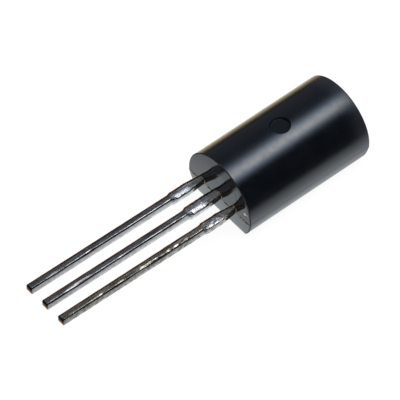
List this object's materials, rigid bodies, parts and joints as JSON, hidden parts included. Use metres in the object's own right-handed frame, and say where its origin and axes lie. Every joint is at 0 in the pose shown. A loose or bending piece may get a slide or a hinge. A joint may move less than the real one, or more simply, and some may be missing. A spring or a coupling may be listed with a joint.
{
  "type": "to-92 transistor",
  "caption": "Long-body moulded transistor with a flat side, a round back and straight stamped leads in one row.",
  "frame": {"origin": "centre of the flat side of the moulding, which lies on the surface below", "axes": "+X along the body away from the leads, +Y across the row of leads, +Z out of the round back; the leads point along -X"},
  "size_m": [0.0195, 0.005, 0.004],
  "materials": {
    "moulding": "glossy black moulded epoxy",
    "tinned_lead": "tin-plated stamped copper alloy",
    "solder": "dull solder",
    "silicon": "polished silicon",
    "bond_wire": "bright gold wire"
  },
  "bodies": {
    "root": {"body": "moulding", "emitter_lead": "tinned_lead", "collector_lead": "tinned_lead", "base_lead": "tinned_lead", "die_attach": "solder", "die": "silicon", "emitter_wire": "bond_wire", "base_wire": "bond_wire"}
  },
  "joints": []
}
